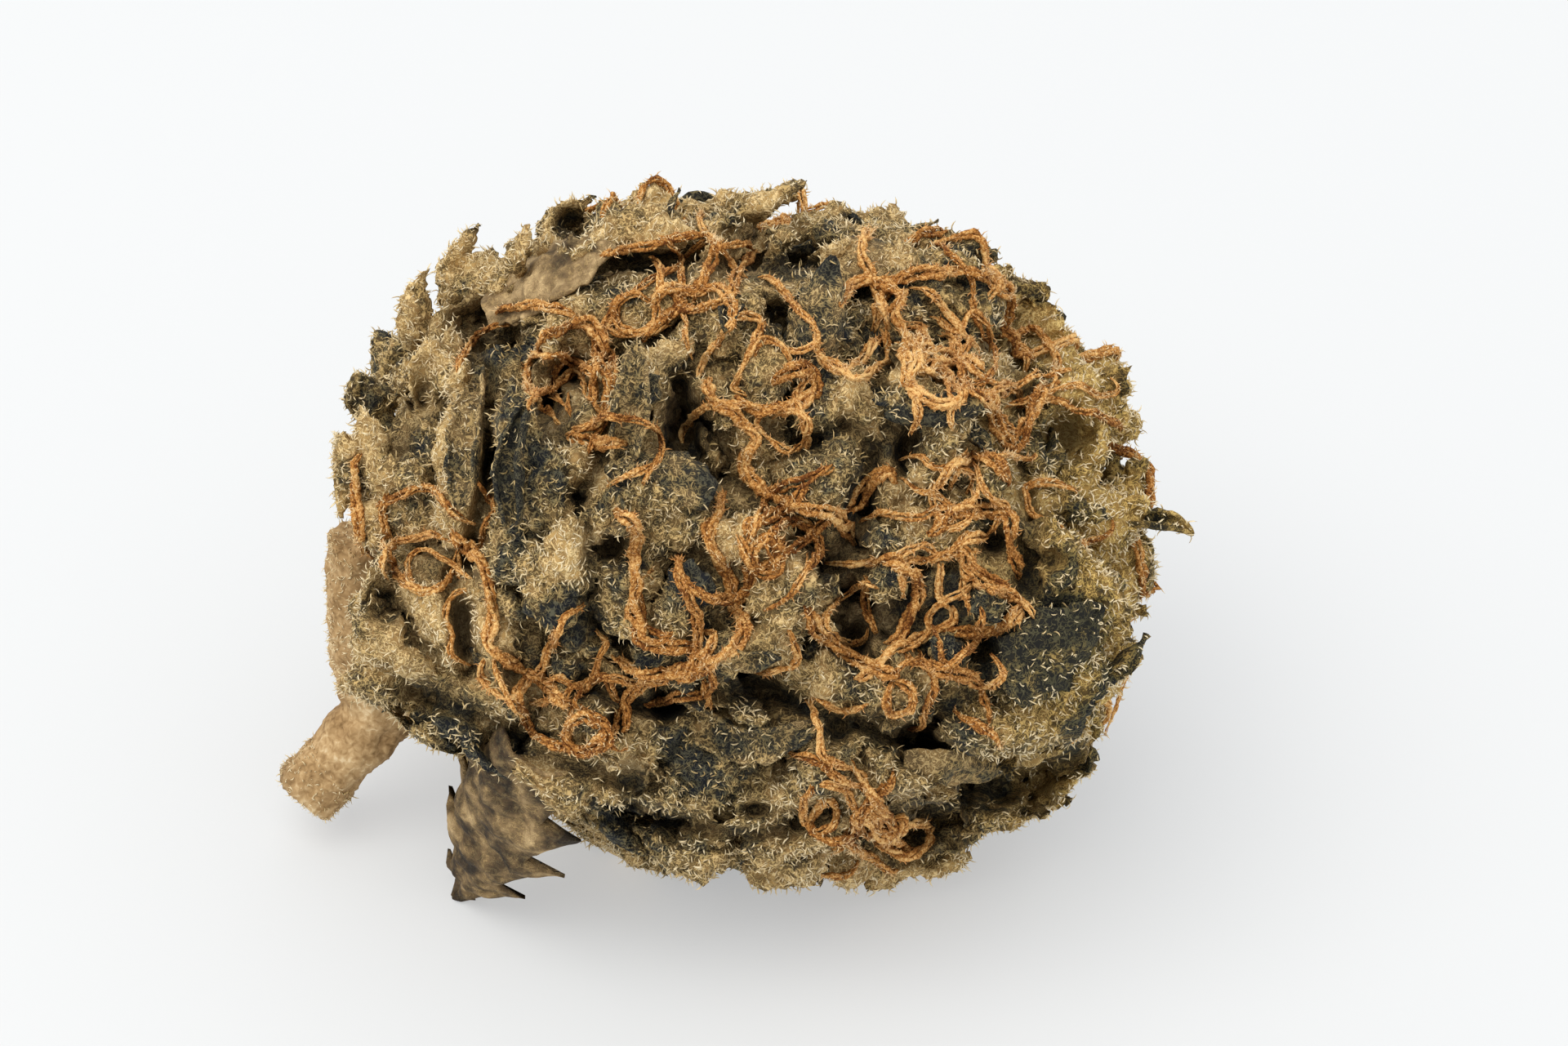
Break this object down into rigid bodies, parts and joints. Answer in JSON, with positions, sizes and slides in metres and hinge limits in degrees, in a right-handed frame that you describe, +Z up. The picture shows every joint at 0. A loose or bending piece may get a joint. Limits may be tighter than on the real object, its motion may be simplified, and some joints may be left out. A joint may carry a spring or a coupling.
{
  "type": "cannabis bud",
  "caption": "Dried, trimmed flower bud lying on its side: bract clusters round a cut woody stem, with small sugar leaves and curled dried pistils.",
  "frame": {"origin": "under the middle of the bud, on the surface that it rests on", "axes": "+Z up, +X along the stem from the cut end to the bud's tip, -Y towards the face that shows"},
  "size_m": [0.0288, 0.0224, 0.0218],
  "materials": {
    "bract": "dry, matt, covered in fine pale resin hairs",
    "leaf": "dry, matt to slightly waxy, wrinkled",
    "pistil": "dry, matt, fibrous",
    "stem": "dry, matt, fibrous bark with a cut end"
  },
  "bodies": {
    "root": {"bract_cluster_01": "bract", "bract_cluster_02": "bract", "bract_cluster_03": "bract", "bract_cluster_04": "bract", "bract_cluster_05": "bract", "bract_cluster_06": "bract", "bract_cluster_07": "bract", "bract_cluster_08": "bract", "bract_cluster_09": "bract", "bract_cluster_10": "bract", "bract_cluster_11": "bract", "bract_cluster_12": "bract", "bract_cluster_13": "bract", "bract_cluster_14": "bract", "bract_cluster_15": "bract", "bract_cluster_16": "bract", "bract_cluster_17": "bract", "bract_cluster_18": "bract", "bract_cluster_19": "bract", "bract_cluster_20": "bract", "bract_cluster_21": "bract", "bract_cluster_22": "bract", "bract_cluster_23": "bract", "bract_cluster_24": "bract", "bract_cluster_25": "bract", "bract_cluster_26": "bract", "bract_cluster_27": "bract", "bract_cluster_28": "bract", "bract_cluster_29": "bract", "bract_cluster_30": "bract", "hanging_leaf": "leaf", "pistil_01": "pistil", "pistil_02": "pistil", "pistil_03": "pistil", "pistil_04": "pistil", "pistil_05": "pistil", "pistil_06": "pistil", "pistil_07": "pistil", "pistil_08": "pistil", "pistil_09": "pistil", "pistil_10": "pistil", "pistil_11": "pistil", "pistil_12": "pistil", "pistil_13": "pistil", "pistil_14": "pistil", "pistil_15": "pistil", "pistil_loose": "pistil", "stem": "stem", "sugar_leaf_01": "leaf", "sugar_leaf_02": "leaf", "sugar_leaf_03": "leaf", "sugar_leaf_04": "leaf", "sugar_leaf_05": "leaf", "sugar_leaf_06": "leaf", "sugar_leaf_07": "leaf", "sugar_leaf_08": "leaf", "sugar_leaf_09": "leaf", "sugar_leaf_10": "leaf", "sugar_leaf_11": "leaf", "tip_leaf": "leaf"}
  },
  "joints": []
}
